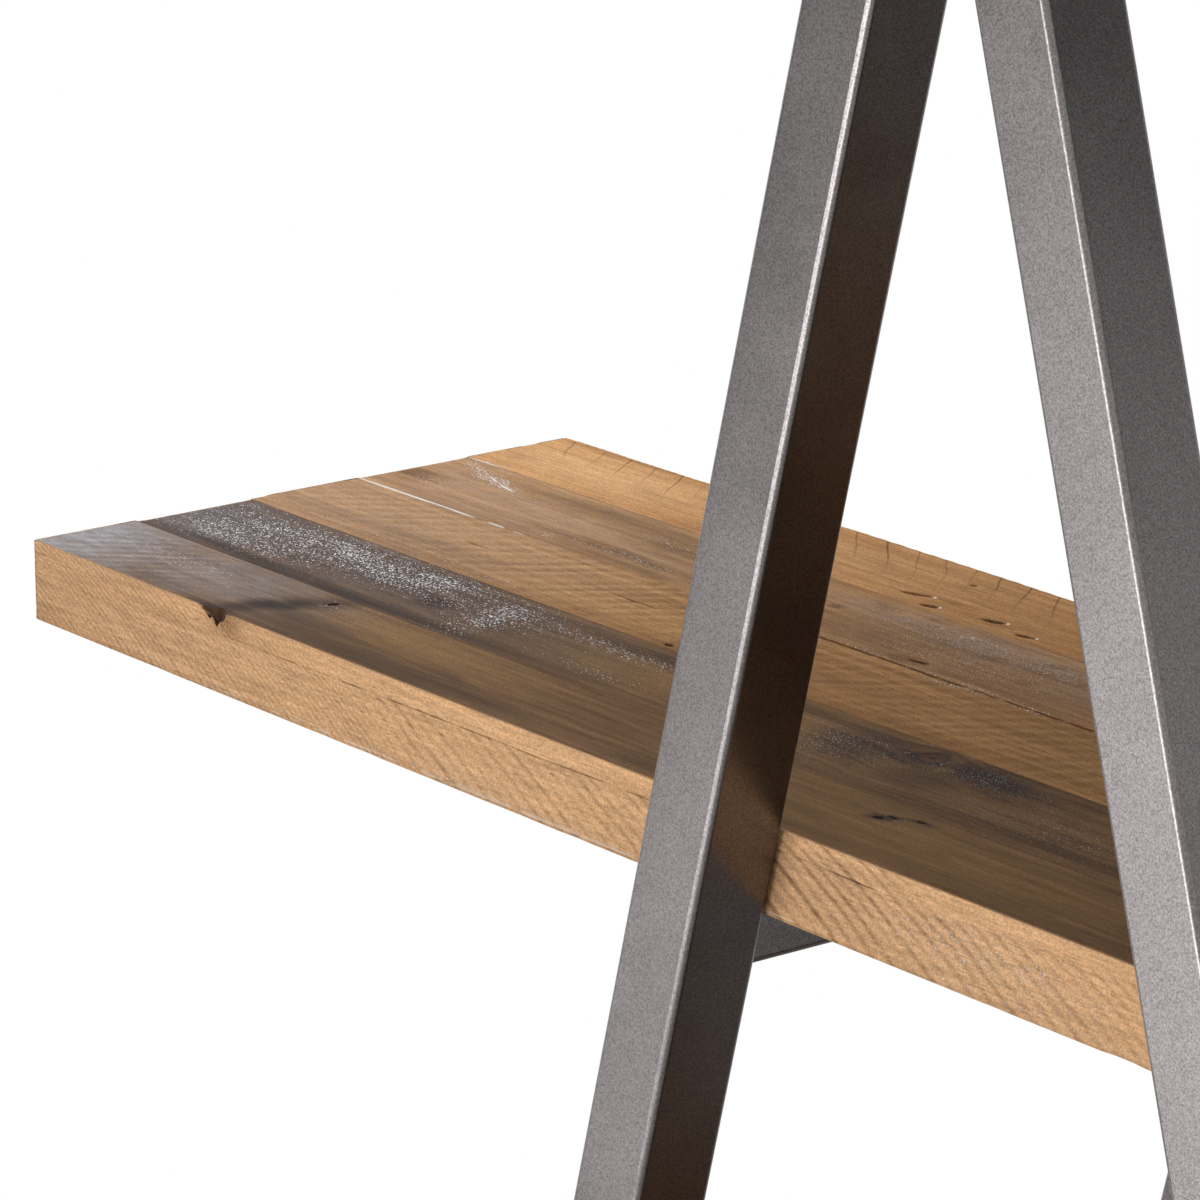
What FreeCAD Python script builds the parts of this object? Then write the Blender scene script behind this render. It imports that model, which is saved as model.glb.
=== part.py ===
import FreeCAD, Part
import math
import os

from FreeCAD import Placement, Rotation, Vector

# Triangular shelving unit: three plank shelves carried by two raked steel ladders that meet at the top.
# A ladder is a front and a back leg of square tube with square rails welded between them, and the two
# ladders are bolted together through their ridge rails, just behind the mitred apex.
# Millimetres. +X runs along the shelves, +Y to the back, +Z up. The origin is on the floor, at the middle.

# Overall form
HEIGHT = 1800.0  # floor to the tip of the apex
FOOT_SPREAD = 1000.0  # across the outsides of the left and right legs, at the floor

# Tubes
LEG_SIZE = 40.0
LEG_WALL = 2.0
RAIL_SIZE = 25.0
RAIL_WALL = 2.0
CORNER_SHARE = 1.5  # outer corner radius of a tube, as a share of its wall
RIDGE_COVER = 2.5  # leg left outside the top corner of a ridge rail

# Shelves
SHELF_NAMES = ["bottom", "middle", "top"]
SHELF_LENGTH = 1400.0
SHELF_DEPTH = 320.0
SHELF_THICKNESS = 40.0
LOWEST_SHELF_TOP = 226.0
SHELF_PITCH = 480.0
LEG_GAP = 1.0  # from the long edges of a shelf to the legs

# Planks, from front to back. Sawn ends and planed tops fall short of the shelf's size by uneven amounts.
PLANK_WIDTH_SHARES = [0.183, 0.207, 0.204, 0.209, 0.197]
END_SETBACK = 1.6
END_SETBACK_SHARES = [0.0, 0.9, 0.4, 0.6, 0.0]
TOP_STEP = 0.6
TOP_STEP_SHARES = [0.3, 1.0, 0.0, 0.7, 0.2]
GLUE_LINE = 0.2
PLANK_ARRIS = 0.8

# Chipped knot: a spindle-shaped hollow along the front edge of the top shelf
CHIP_FROM_END = 156.0
CHIP_LENGTH = 38.0
CHIP_DEPTH = 8.5

# Fasteners are many and small, so their round parts and holes have a few flat sides
ROUND_SIDES = 10
HEXAGON_SIDES = 6

# Wood screws, one into each plank from inside each rail, driven through a wider hole in the rail's lower wall
SCREW_SHANK = 5.0
SCREW_HEAD = 10.0
SCREW_HEAD_HEIGHT = 3.2
SCREW_BITE = 25.0  # length in the wood, point included
SCREW_POINT = 6.0
SCREW_HOLE_PLAY = 0.5
DRIVER_HOLE_PLAY = 2.0
PILOT_PLAY = 0.1

# Ridge bolts
BOLT_DIAMETER = 8.0
BOLT_HOLE_PLAY = 0.4
BOLT_HEAD_HEIGHT = 5.3
BOLT_TAIL = 4.0  # thread left standing past the nut
BOLT_PLACE_SHARES = [-0.3, 0.3]  # of the shelf depth, from the middle
HEXAGON_ACROSS_FLATS = 13.0
NUT_HEIGHT = 6.5
NUT_PLAY = 0.1
WASHER_DIAMETER = 16.0
WASHER_THICKNESS = 1.6

# Feet
PAD_THICKNESS = 5.0
PLUG_HEIGHT = 28.0
PLUG_WALL = 2.5
PLUG_PLAY = 0.2

CUT_OVERRUN = 1.0

# Worked out from the sizes above
SIDES = {"left": -1, "right": 1}
ENDS = {"front": -1, "back": 1}
PLANKS = range(len(PLANK_WIDTH_SHARES))
RAKE = FOOT_SPREAD / 2 / HEIGHT
RAKE_ANGLE = math.atan(RAKE)
LEG_WIDTH = LEG_SIZE / math.cos(RAKE_ANGLE)  # of a level cut through a leg
LEG_Y = SHELF_DEPTH / 2 + LEG_GAP + LEG_SIZE / 2
RAIL_LENGTH = SHELF_DEPTH + 2 * LEG_GAP
SHELF_TOPS = [LOWEST_SHELF_TOP + level * SHELF_PITCH for level in range(len(SHELF_NAMES))]
RIDGE_TOP = HEIGHT - (RAIL_SIZE + RIDGE_COVER) / RAKE
RIDGE_BOLT_Z = RIDGE_TOP - RAIL_SIZE / 2

UP = Vector(0, 0, 1)
ALONG_X = Rotation(Vector(0, 1, 0), 90)  # lays what stands on Z along +X
ALONG_Y = Rotation(Vector(1, 0, 0), -90)  # lays what stands on Z along +Y


def leg_centre(level):
    """Distance from the middle of the unit to the centre of a leg, at a height above the floor."""
    return (HEIGHT - level) * RAKE - LEG_WIDTH / 2


def placed(shape, x, y, z, turn=Rotation()):
    shape.Placement = Placement(Vector(x, y, z), turn)
    return shape


def polygon(sides, across_flats):
    """Closed outline of a regular polygon about the origin, with an even number of sides."""
    corner = across_flats / 2 / math.cos(math.pi / sides)
    turns = [2 * math.pi * step / sides for step in range(sides)]
    points = [Vector(corner * math.cos(turn), corner * math.sin(turn), 0) for turn in turns]
    return Part.makePolygon(points + points[:1])


def prism(sides, across_flats, height):
    return Part.Face(polygon(sides, across_flats)).extrude(UP * height)


def rod(diameter, length):
    return prism(ROUND_SIDES, diameter, length)


def square_bar(size, radius, length):
    """A square bar with round corners, standing on the XY plane about the Z axis."""
    core = size - 2 * radius
    section = Part.makePlane(core, core, Vector(-core / 2, -core / 2, 0))
    if radius > 0:
        section = section.makeOffset2D(radius)
    return section.extrude(UP * length)


def raked_bar(size, radius, side, end):
    """A square bar on the axis of one leg, running past both the floor and the apex."""
    length = HEIGHT / math.cos(RAKE_ANGLE) + 2 * LEG_SIZE
    turn = Rotation(Vector(0, 1, 0), -side * math.degrees(RAKE_ANGLE))
    foot = Vector(side * leg_centre(0), end * LEG_Y, 0)
    start = foot - turn.multVec(UP) * LEG_SIZE
    return placed(square_bar(size, radius, length), start.x, start.y, start.z, turn)


def between_levels(shape, side, low, high):
    """The part of a raked shape between two heights, on its own side of the middle plane."""
    width = FOOT_SPREAD / 2 + LEG_SIZE
    depth = 2 * LEG_Y + 2 * LEG_SIZE
    slab = Part.makeBox(width, depth, high - low)
    return shape.common(placed(slab, min(side, 0) * width, -depth / 2, low))


def leg(side, end):
    """Tube cut level above its foot and mitred on the middle plane, where it meets its partner."""
    outside = raked_bar(LEG_SIZE, CORNER_SHARE * LEG_WALL, side, end)
    bore = raked_bar(LEG_SIZE - 2 * LEG_WALL, (CORNER_SHARE - 1) * LEG_WALL, side, end)
    return between_levels(outside.cut(bore), side, PAD_THICKNESS, HEIGHT)


def foot(side, end):
    """Pad of the leg's own section, with a hollow plug that follows the rake up into the tube."""
    plug_size = LEG_SIZE - 2 * LEG_WALL - 2 * PLUG_PLAY
    plug_top = PAD_THICKNESS + PLUG_HEIGHT
    pad = between_levels(raked_bar(LEG_SIZE, CORNER_SHARE * LEG_WALL, side, end), side, 0, PAD_THICKNESS)
    plug = between_levels(raked_bar(plug_size, 0, side, end), side, PAD_THICKNESS, plug_top)
    hollow = raked_bar(plug_size - 2 * PLUG_WALL, 0, side, end)
    return pad.fuse(plug.cut(hollow)).removeSplitter()


def rail_tube():
    """Cross rail lying along Y, with its middle at the origin."""
    outside = square_bar(RAIL_SIZE, CORNER_SHARE * RAIL_WALL, RAIL_LENGTH)
    bore = square_bar(RAIL_SIZE - 2 * RAIL_WALL, (CORNER_SHARE - 1) * RAIL_WALL, RAIL_LENGTH)
    return placed(outside.cut(bore), 0, -RAIL_LENGTH / 2, 0, ALONG_Y)


def plank_edges(index):
    """Front and back of a plank in Y, glue lines taken off."""
    front = -SHELF_DEPTH / 2 + SHELF_DEPTH * sum(PLANK_WIDTH_SHARES[:index])
    back = front + SHELF_DEPTH * PLANK_WIDTH_SHARES[index]
    glue_at_front = GLUE_LINE / 2 if index > 0 else 0
    glue_at_back = GLUE_LINE / 2 if index < PLANKS[-1] else 0
    return front + glue_at_front, back - glue_at_back


def plank_middle(index):
    return sum(plank_edges(index)) / 2


def rail_level(shelf_top):
    """Height of the middle of the rails that carry a shelf."""
    return shelf_top - SHELF_THICKNESS - RAIL_SIZE / 2


def shelf_rail(side, shelf_top):
    """Rail under one side of a shelf, with a hole for each screw above one that its head passes through."""
    level = rail_level(shelf_top)
    reach = side * leg_centre(level)
    rail = rail_tube().translated(Vector(reach, 0, level))
    for index in PLANKS:
        screw_hole = rod(SCREW_SHANK + SCREW_HOLE_PLAY, RAIL_SIZE)
        driver_hole = rod(SCREW_HEAD + DRIVER_HOLE_PLAY, RAIL_SIZE)
        rail = rail.cut(placed(screw_hole, reach, plank_middle(index), level))
        rail = rail.cut(placed(driver_hole, reach, plank_middle(index), level - RAIL_SIZE))
    return rail


def ridge_rail(side):
    """Rail behind the apex, flat against its partner on the middle plane and drilled for the bolts."""
    rail = rail_tube().translated(Vector(side * RAIL_SIZE / 2, 0, RIDGE_BOLT_Z))
    for share in BOLT_PLACE_SHARES:
        drill = rod(BOLT_DIAMETER + BOLT_HOLE_PLAY, 2 * RAIL_SIZE + 2 * CUT_OVERRUN)
        start = -RAIL_SIZE - CUT_OVERRUN
        rail = rail.cut(placed(drill, start, share * SHELF_DEPTH, RIDGE_BOLT_Z, ALONG_X))
    return rail


def plank(index, shelf_top):
    """One plank, with eased arrises and blind pilot holes in its underside."""
    front, back = plank_edges(index)
    left = -SHELF_LENGTH / 2 + END_SETBACK * END_SETBACK_SHARES[index]
    right = SHELF_LENGTH / 2 - END_SETBACK * END_SETBACK_SHARES[-1 - index]
    bottom = shelf_top - SHELF_THICKNESS
    thickness = SHELF_THICKNESS - TOP_STEP * TOP_STEP_SHARES[index]
    board = Part.makeBox(right - left, back - front, thickness, Vector(left, front, bottom))
    board = board.makeChamfer(PLANK_ARRIS, board.Edges)
    for side in SIDES.values():
        reach = side * leg_centre(rail_level(shelf_top))
        pilot = rod(SCREW_SHANK + PILOT_PLAY, SCREW_BITE + 2 * CUT_OVERRUN)
        board = board.cut(placed(pilot, reach, plank_middle(index), bottom - CUT_OVERRUN))
    return board


def chip():
    """Spindle-shaped hollow left by a lost knot: an arc turned about the front edge of the top shelf."""
    tip = CHIP_LENGTH / 2
    bow = Part.Arc(Vector(-tip, 0, 0), Vector(0, 0, CHIP_DEPTH), Vector(tip, 0, 0)).toShape()
    axis = Part.makeLine(Vector(tip, 0, 0), Vector(-tip, 0, 0))
    spindle = Part.Face(Part.Wire([bow, axis])).revolve(Vector(0, 0, 0), Vector(1, 0, 0), 360)
    return placed(spindle, CHIP_FROM_END - SHELF_LENGTH / 2, -SHELF_DEPTH / 2, SHELF_TOPS[-1])


def wood_screw():
    """Pan-head screw that points up, with the underside of its head at Z = 0."""
    head = placed(rod(SCREW_HEAD, SCREW_HEAD_HEIGHT), 0, 0, -SCREW_HEAD_HEIGHT)
    straight = RAIL_WALL + SCREW_BITE - SCREW_POINT
    shank = rod(SCREW_SHANK, straight)
    shoulder = polygon(ROUND_SIDES, SCREW_SHANK).translated(UP * straight)
    tip = Part.Vertex(0, 0, straight + SCREW_POINT)
    return head.fuse([shank, Part.makeLoft([shoulder, tip], True, True)])


def shelf_screws(shelf_top):
    """Screws in both rails of a shelf, one in the middle of each plank."""
    reach = leg_centre(rail_level(shelf_top))
    seat = shelf_top - SHELF_THICKNESS - RAIL_WALL
    places = [(side * reach, plank_middle(index)) for side in SIDES.values() for index in PLANKS]
    return Part.makeCompound([placed(wood_screw(), x, y, seat) for x, y in places])


def hexagon(height):
    return prism(HEXAGON_SIDES, HEXAGON_ACROSS_FLATS, height)


def ridge_bolt():
    """Hexagon bolt that points up, with the underside of its head at Z = 0."""
    grip = 2 * RAIL_SIZE + 2 * WASHER_THICKNESS
    shank = rod(BOLT_DIAMETER, grip + NUT_HEIGHT + BOLT_TAIL)
    return placed(hexagon(BOLT_HEAD_HEIGHT), 0, 0, -BOLT_HEAD_HEIGHT).fuse(shank)


def ridge_nut():
    return hexagon(NUT_HEIGHT).cut(rod(BOLT_DIAMETER + NUT_PLAY, NUT_HEIGHT))


def ridge_washer():
    return rod(WASHER_DIAMETER, WASHER_THICKNESS).cut(rod(BOLT_DIAMETER + BOLT_HOLE_PLAY, WASHER_THICKNESS))


def along_ridge(make, *starts):
    """Copies of a fastener at every bolt place, laid along X from each start."""
    places = [(x, share * SHELF_DEPTH) for x in starts for share in BOLT_PLACE_SHARES]
    return Part.makeCompound([placed(make(), x, y, RIDGE_BOLT_Z, ALONG_X) for x, y in places])


pieces = {}
for side_name, side in SIDES.items():
    for end_name, end in ENDS.items():
        pieces[f"{end_name}_{side_name}_leg"] = leg(side, end)
        pieces[f"{end_name}_{side_name}_foot"] = foot(side, end)
    pieces[f"{side_name}_ridge_rail"] = ridge_rail(side)

for shelf_name, shelf_top in zip(SHELF_NAMES, SHELF_TOPS):
    for side_name, side in SIDES.items():
        pieces[f"{shelf_name}_{side_name}_rail"] = shelf_rail(side, shelf_top)
    for index in PLANKS:
        pieces[f"{shelf_name}_shelf_plank_{index + 1}"] = plank(index, shelf_top)
    pieces[f"{shelf_name}_shelf_screws"] = shelf_screws(shelf_top)

chipped_plank = f"{SHELF_NAMES[-1]}_shelf_plank_1"
pieces[chipped_plank] = pieces[chipped_plank].cut(chip())

pieces["ridge_bolts"] = along_ridge(ridge_bolt, -RAIL_SIZE - WASHER_THICKNESS)
pieces["ridge_washers"] = along_ridge(ridge_washer, -RAIL_SIZE - WASHER_THICKNESS, RAIL_SIZE)
pieces["ridge_nuts"] = along_ridge(ridge_nut, RAIL_SIZE + WASHER_THICKNESS)

os.makedirs("parts", exist_ok=True)
for name, shape in pieces.items():
    shape.exportStep(f"parts/{name}.step")
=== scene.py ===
import itertools
import math
import random

import bmesh
import bpy
import numpy as np
from mathutils import Matrix, Vector


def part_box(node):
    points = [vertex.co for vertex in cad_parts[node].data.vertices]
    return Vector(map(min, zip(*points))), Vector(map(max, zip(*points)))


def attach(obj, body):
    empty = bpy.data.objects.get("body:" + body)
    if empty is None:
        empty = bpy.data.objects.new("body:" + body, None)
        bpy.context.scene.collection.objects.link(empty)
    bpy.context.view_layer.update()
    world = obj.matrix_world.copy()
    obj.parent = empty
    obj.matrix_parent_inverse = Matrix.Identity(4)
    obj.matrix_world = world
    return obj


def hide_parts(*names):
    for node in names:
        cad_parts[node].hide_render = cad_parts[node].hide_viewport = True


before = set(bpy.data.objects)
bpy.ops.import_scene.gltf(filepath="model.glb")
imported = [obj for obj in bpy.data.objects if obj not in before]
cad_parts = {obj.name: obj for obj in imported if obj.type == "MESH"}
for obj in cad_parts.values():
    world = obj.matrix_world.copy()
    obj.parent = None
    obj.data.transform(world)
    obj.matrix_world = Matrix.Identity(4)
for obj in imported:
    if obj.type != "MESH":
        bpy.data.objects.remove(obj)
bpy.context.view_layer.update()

# Legs, shelf rails and ridge rails: square steel tube, welded into two ladders and sprayed gunmetal.
# The rounded corners catch the light, the coat has a fine metallic grain with a few dust nibs, and a
# dark line shows where the mitred legs meet at the apex.

MM = 0.001
FLAKE = 0.78  # grain of the coat, drawn coarser than real flake so that it shows
FLAKE_TONES = (0.52, 1.48)
CLOUD = 45  # soft unevenness of the sprayed coat
CLOUD_TONES = (0.94, 1.06)
CLOUD_ROUGHNESS = (0.29, 0.33)
NIB_SPACING = 70
NIB = 0.5  # radius of a dust nib
MITRE_LINE = 0.35  # half the width of the joint between left and right legs


def linear(code):
    """An sRGB hex colour as linear red, green, blue and alpha."""
    shares = [int(code[place:place + 2], 16) / 255 for place in (0, 2, 4)]
    return [s / 12.92 if s <= 0.04045 else ((s + 0.055) / 1.055) ** 2.4 for s in shares] + [1]


def add_node(tree, kind, inputs, output=0, **settings):
    """Adds a shader node and returns one of its outputs. An input is a value or another node's output."""
    made = tree.nodes.new("ShaderNode" + kind)
    for name, value in settings.items():
        setattr(made, name, value)
    for name, value in inputs.items():
        if isinstance(value, bpy.types.NodeSocket):
            tree.links.new(value, made.inputs[name])
        else:
            made.inputs[name].default_value = value
    return made.outputs[output]


def new_material(name):
    """A named material, with its node tree and its surface shader."""
    material = bpy.data.materials.new(name)
    material.use_nodes = True
    return material, material.node_tree, material.node_tree.nodes["Principled BSDF"]


def coat_solids(ending, material):
    """Gives a material to the solids that show as they are, picked by the ending of their names."""
    for name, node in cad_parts.items():
        if name.endswith(ending):
            node.data.materials.clear()
            node.data.materials.append(material)


# Sprayed metallic lacquer on steel: dark and neutral, half sharp in its reflections, with a fine sparkle.
lacquer, tree, surface = new_material("gunmetal_lacquer")
place = add_node(tree, "TexCoord", {}, "Object")
flake = add_node(tree, "TexNoise", {"Vector": place, "Scale": 1 / FLAKE / MM, "Detail": 1})
cloud = add_node(tree, "TexNoise", {"Vector": place, "Scale": 1 / CLOUD / MM, "Detail": 3})
grit = add_node(tree, "MapRange", {0: flake, 1: 0.2, 2: 0.8, 3: FLAKE_TONES[0], 4: FLAKE_TONES[1]})
drift = add_node(tree, "MapRange", {0: cloud, 1: 0.3, 2: 0.7, 3: CLOUD_TONES[0], 4: CLOUD_TONES[1]})
tone = add_node(tree, "Math", {0: grit, 1: drift}, operation="MULTIPLY")
cells = add_node(tree, "TexVoronoi", {"Vector": place, "Scale": 1 / NIB_SPACING / MM}, "Distance")
nib = add_node(tree, "Math", {0: cells, 1: NIB / NIB_SPACING}, operation="LESS_THAN")
across = add_node(tree, "SeparateXYZ", {0: place}, "X")
aside = add_node(tree, "Math", {0: across}, operation="ABSOLUTE")
mitre = add_node(tree, "Math", {0: aside, 1: MITRE_LINE * MM}, operation="LESS_THAN")
coat = add_node(tree, "Mix", {0: 1, 6: linear("767171"), 7: tone}, 2,
                data_type="RGBA", blend_type="MULTIPLY")
coat = add_node(tree, "Mix", {0: nib, 6: coat, 7: linear("B9B7B6")}, 2, data_type="RGBA")
coat = add_node(tree, "Mix", {0: mitre, 6: coat, 7: linear("1A1918")}, 2, data_type="RGBA")
dull = add_node(tree, "MapRange", {0: cloud, 1: 0.3, 2: 0.7, 3: CLOUD_ROUGHNESS[0], 4: CLOUD_ROUGHNESS[1]})
peel = add_node(tree, "Bump", {"Strength": 0.05, "Distance": 0.2 * MM, "Height": flake})
tree.links.new(coat, surface.inputs["Base Color"])
tree.links.new(dull, surface.inputs["Roughness"])
tree.links.new(peel, surface.inputs["Normal"])
surface.inputs["Metallic"].default_value = 1
coat_solids(("_leg", "_rail"), lacquer)

# Feet: a plug with a pad, moulded in black polypropylene and pushed into the end of each leg.
# The mould leaves a fine matt pebble on the pad, and the floor leaves a little dust.

PEBBLE = 1.2
DUST = 7  # size of a patch of dust

plastic, tree, surface = new_material("black_polypropylene")
place = add_node(tree, "TexCoord", {}, "Object")
pebble = add_node(tree, "TexVoronoi", {"Vector": place, "Scale": 1 / PEBBLE / MM}, "Distance")
dust = add_node(tree, "TexNoise", {"Vector": place, "Scale": 1 / DUST / MM, "Detail": 4})
scuff = add_node(tree, "MapRange", {0: dust, 1: 0.45, 2: 0.75})
shade = add_node(tree, "Mix", {0: scuff, 6: linear("1D1C1B"), 7: linear("3A3835")}, 2, data_type="RGBA")
dimple = add_node(tree, "Bump", {"Strength": 0.3, "Distance": 0.2 * MM, "Height": pebble})
tree.links.new(shade, surface.inputs["Base Color"])
tree.links.new(dimple, surface.inputs["Normal"])
surface.inputs["Roughness"].default_value = 0.55
coat_solids("_foot", plastic)

# Shelf screws: hardened steel with a black oxide skin, driven up through the rails into the planks.
# Only their heads show, deep in the driver holes.

SMEAR = 2.5  # size of a patch of oil in the oxide

oxide, tree, surface = new_material("black_oxide_steel")
place = add_node(tree, "TexCoord", {}, "Object")
smear = add_node(tree, "TexNoise", {"Vector": place, "Scale": 1 / SMEAR / MM, "Detail": 3})
shade = add_node(tree, "Mix", {0: smear, 6: linear("2A2927"), 7: linear("4A4745")}, 2, data_type="RGBA")
tree.links.new(shade, surface.inputs["Base Color"])
surface.inputs["Metallic"].default_value = 1
surface.inputs["Roughness"].default_value = 0.45
coat_solids("_screws", oxide)

# Ridge bolts, washers and nuts: zinc-plated steel. The bolts have forged hexagon heads and rolled threads,
# the nuts are cold formed with both rims chamfered, and the washers are stamped.

BOLT = 8
PITCH = 1.25
THREAD_DEPTH = 0.6
THREAD_LENGTH = 22
TIP_EASE = 1.4  # how far the tip is eased, in depths of the thread
HEX = 13  # across the flats
RIM_SHARE = 0.95  # chamfer circle, as a share of the hexagon's flats
BORE_PLAY = 0.15
WASHER = 16
WASHER_THICKNESS = 1.6
WASHER_EASE = 0.25
AROUND = 48  # points around a fastener
FASTENER_CREASE = 25  # edges that turn more than this are sharp
BLOOM = 3  # size of a dull patch in the plating
BLOOM_ROUGHNESS = (0.28, 0.48)

plate, tree, surface = new_material("zinc_plate")
place = add_node(tree, "TexCoord", {}, "Object")
bloom = add_node(tree, "TexNoise", {"Vector": place, "Scale": 1 / BLOOM / MM, "Detail": 4})
shade = add_node(tree, "Mix", {0: bloom, 6: linear("9A9B9B"), 7: linear("B5B6B6")}, 2, data_type="RGBA")
dull = add_node(tree, "MapRange", {0: bloom, 1: 0.3, 2: 0.7, 3: BLOOM_ROUGHNESS[0], 4: BLOOM_ROUGHNESS[1]})
tree.links.new(shade, surface.inputs["Base Color"])
tree.links.new(dull, surface.inputs["Roughness"])
surface.inputs["Metallic"].default_value = 1


def hexagon(angle):
    """Distance from the middle of a hexagon to its outline, with a corner straight up."""
    return HEX / 2 / math.cos((angle + math.pi / 6) % (math.pi / 3) - math.pi / 6)


def fall(angle):
    """How far a chamfer of 30 degrees falls from its circle to the hexagon's outline."""
    return (hexagon(angle) - RIM_SHARE * HEX / 2) * math.tan(math.pi / 6)


def turned(bm, centre, rings, closed):
    """Adds a solid along X from rings: a place along X and a radius, each a size or worked out by angle."""
    loops = []
    for along, radius in rings:
        loop = bmesh.ops.create_circle(bm, segments=AROUND, radius=1)["verts"]
        loops.append(list({edge for vert in loop for edge in vert.link_edges}))
        for vert in loop:
            angle = math.atan2(vert.co.y, vert.co.x)
            reach = radius(angle) if callable(radius) else radius
            shift = along(angle) if callable(along) else along
            vert.co = centre + Vector((shift, reach * math.cos(angle), reach * math.sin(angle)))
    for first, second in zip(loops, loops[1:] + loops[:1] if closed else loops[1:]):
        bmesh.ops.bridge_loops(bm, edges=first + second)
    if not closed:
        bmesh.ops.contextual_create(bm, geom=loops[0])
        bmesh.ops.contextual_create(bm, geom=loops[-1])


def finish_piece(name, bm, material, node):
    """Turns a mesh in millimetres into a piece of the object, in place of a solid."""
    bmesh.ops.scale(bm, vec=(MM, MM, MM), verts=bm.verts)
    bmesh.ops.recalc_face_normals(bm, faces=bm.faces)
    mesh = bpy.data.meshes.new(name)
    bm.to_mesh(mesh)
    bm.free()
    mesh.polygons.foreach_set("use_smooth", [True] * len(mesh.polygons))
    mesh.materials.append(material)
    piece = bpy.data.objects.new(name, mesh)
    bpy.context.collection.objects.link(piece)
    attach(piece, "root")
    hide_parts(node)
    return mesh


bolt_low, bolt_high = [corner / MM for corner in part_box("ridge_bolts")]
nut_low, nut_high = [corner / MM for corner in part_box("ridge_nuts")]
washer_low, washer_high = [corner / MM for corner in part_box("ridge_washers")]
bolts, nuts, washers = bmesh.new(), bmesh.new(), bmesh.new()
rim = RIM_SHARE * HEX / 2
for aside in (bolt_low.y + HEX / 2, bolt_high.y - HEX / 2):
    middle = Vector((0, aside, (bolt_low.z + bolt_high.z) / 2))
    thread = []
    for turn in range(round(THREAD_LENGTH / PITCH)):
        crest = bolt_high.x - THREAD_LENGTH + turn * PITCH
        thread += [(crest, BOLT / 2), (crest + PITCH / 2, BOLT / 2 - THREAD_DEPTH)]
    bolt = [
        (bolt_low.x, rim),
        (lambda angle: bolt_low.x + fall(angle), hexagon),
        (washer_low.x, hexagon),
        (washer_low.x, BOLT / 2),
        *thread,
        (bolt_high.x, BOLT / 2 - TIP_EASE * THREAD_DEPTH),
    ]
    turned(bolts, middle, bolt, closed=False)
    bore = BOLT / 2 + BORE_PLAY
    nut = [
        (nut_low.x, bore),
        (nut_low.x, rim),
        (lambda angle: nut_low.x + fall(angle), hexagon),
        (lambda angle: nut_high.x - fall(angle), hexagon),
        (nut_high.x, rim),
        (nut_high.x, bore),
    ]
    turned(nuts, middle, nut, closed=True)
    for start in (washer_low.x, washer_high.x - WASHER_THICKNESS):
        end = start + WASHER_THICKNESS
        washer = [
            (start, bore),
            (start, WASHER / 2 - WASHER_EASE),
            (start + WASHER_EASE, WASHER / 2),
            (end - WASHER_EASE, WASHER / 2),
            (end, WASHER / 2 - WASHER_EASE),
            (end, bore),
        ]
        turned(washers, middle, washer, closed=True)
for name, bm, node in (("hexagon_bolts", bolts, "ridge_bolts"), ("hexagon_nuts", nuts, "ridge_nuts"),
                       ("flat_washers", washers, "ridge_washers")):
    mesh = finish_piece(name, bm, plate, node)
    mesh.set_sharp_from_angle(angle=math.radians(FASTENER_CREASE))

# Shelf planks: boards of reclaimed pine, brushed, stained, waxed and glued edge to edge. The tops keep
# knots, nail slots, old saw marks and a grey skin whose glints are painted as pale specks. Shade, a sheen
# and a highlight are painted into their colour too. The long edges were sawn again, so they
# show pale wood with slanting saw marks.

SHELF_LENGTH = 1400
SEEN_LENGTH = 820  # what the photograph shows of the top shelf, from its left end
PLANK_BACKS = [58.5, 125, 190, 257, 320]  # back edges of the planks, from the shelf's front

# The mesh: its grid on top, along and across the grain, and the depths of the rings down its sides
FINE_STEP = (2.0, 1.6)
PLAIN_STEP = (4.0, 2.6)
CRACK_DEPTH = 10.4
FINE_RINGS = [0.3, 0.8, 1.6, 2.6, 4, 5.5, 7, 8.5, 9.9, CRACK_DEPTH, 10.9, 12.4, *range(14, 40, 2), 39, 39.6]
PLAIN_RINGS = [0.5, 1.2, 2.4, 5, 8.5, 9.9, CRACK_DEPTH, 10.9, 13, 17, 21, 25, 29, 33, 37, 39, 39.6]
INNER_RINGS = [0.3, 0.8, 2, 12, 30, 38, 39.5]
UNDERSIDE_RIM = 3
PLANK_CREASE = 32  # edges that turn more than this are sharp
SMALL_MARK = 20  # marks shorter than this are cut on a finer grid
FINER_CUTS = 3

# Arrises: radius at a glued seam and outside, how far in the wear reaches, and the depth, length, width and
# rarity of two kinds of nick
SEAM_ARRIS = 0.15
OUTER_ARRIS = 0.6
ARRIS_REACH = 4
NICKS = ((0.5, 17, 9, 0), (1.3, 38, 20, 0.55))

# Relief of the faces
SEAM_SANDING = 14  # width of the slope on a plank that stands proud
SEAM_FADE = 6  # the relief dies away over this distance from a seam
SEAM_LEAN = 0.02  # keeps the side of a sanded plank below its slope
BRUSH_DEPTH = 0.08
HOLLOW_DEPTH = 0.12
EDGE_DEPTH = 0.06
KERF_DEPTH = 0.09
KNOT_DEPTH = 0.5
PIT_DEPTH = 1.8
CRACK_OPENING = 0.8
DENT_DEPTH = 1.3

# Outlines that stray: how far, over which length along the grain and which width across it
CRACK_SWAY = [(0.8, 60, 1)]
RAGGED_ALONG = [(3, 15, 6), (1.2, 5, 2)]
RAGGED_ACROSS = [(2, 19, 6), (0.7, 6, 2)]
SAW_WOBBLE = [(0.4, 80, 60), (0.15, 19, 19)]
ELSEWHERE = 500  # takes the noise from another place

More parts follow.
